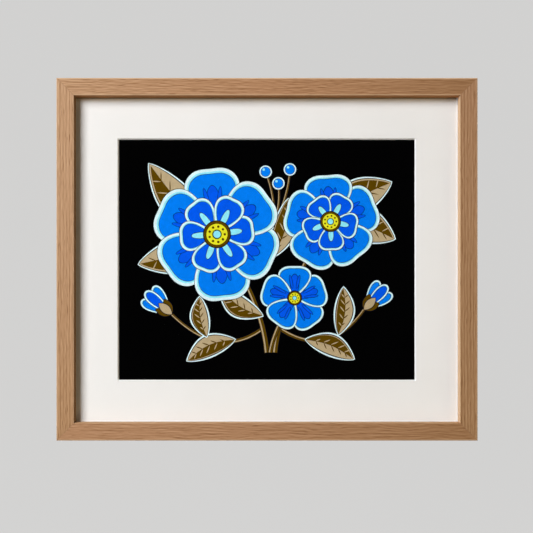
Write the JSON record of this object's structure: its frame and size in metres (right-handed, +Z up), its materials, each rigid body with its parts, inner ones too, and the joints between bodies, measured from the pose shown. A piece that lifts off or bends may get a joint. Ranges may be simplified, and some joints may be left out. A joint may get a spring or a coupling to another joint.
{
  "type": "framed print",
  "caption": "Framed print for a wall: mitred light oak frame, clear glazing, off-white bevelled window mat, blue flowers on black, back panel under bendable tabs, sawtooth hanger",
  "frame": {"origin": "the point it hangs from: top of the hanger's middle notch, on the wall plane", "axes": "+X to the right as seen from the front, +Y from the front into the wall, +Z up; the picture faces -Y and the wall is the plane y = 0"},
  "size_m": [0.358, 0.028, 0.3083],
  "materials": {
    "oak": "light oak, clear satin finish",
    "clear_acrylic": "polished clear sheet",
    "mat_board": "matte warm off-white paper face, white core",
    "print_paper": "smooth matte print, blue flowers on black",
    "fibreboard": "plain brown fibreboard",
    "zinc_steel": "zinc-plated sheet steel",
    "brass_steel": "brass-plated sheet steel",
    "felt": "soft dark felt pad"
  },
  "bodies": {
    "root": {"frame_top": "oak", "frame_bottom": "oak", "frame_left": "oak", "frame_right": "oak", "glazing": "clear_acrylic", "mat": "mat_board", "print": "print_paper", "back_panel": "fibreboard", "tab_top_1": "zinc_steel", "tab_top_2": "zinc_steel", "tab_top_3": "zinc_steel", "tab_bottom_1": "zinc_steel", "tab_bottom_2": "zinc_steel", "tab_bottom_3": "zinc_steel", "tab_left_1": "zinc_steel", "tab_left_2": "zinc_steel", "tab_right_1": "zinc_steel", "tab_right_2": "zinc_steel", "v_nail_top_left": "zinc_steel", "v_nail_top_right": "zinc_steel", "v_nail_bottom_left": "zinc_steel", "v_nail_bottom_right": "zinc_steel", "sawtooth_hanger": "brass_steel", "hanger_nail_left": "brass_steel", "hanger_nail_right": "brass_steel", "bumper_left": "felt", "bumper_right": "felt"}
  },
  "joints": []
}
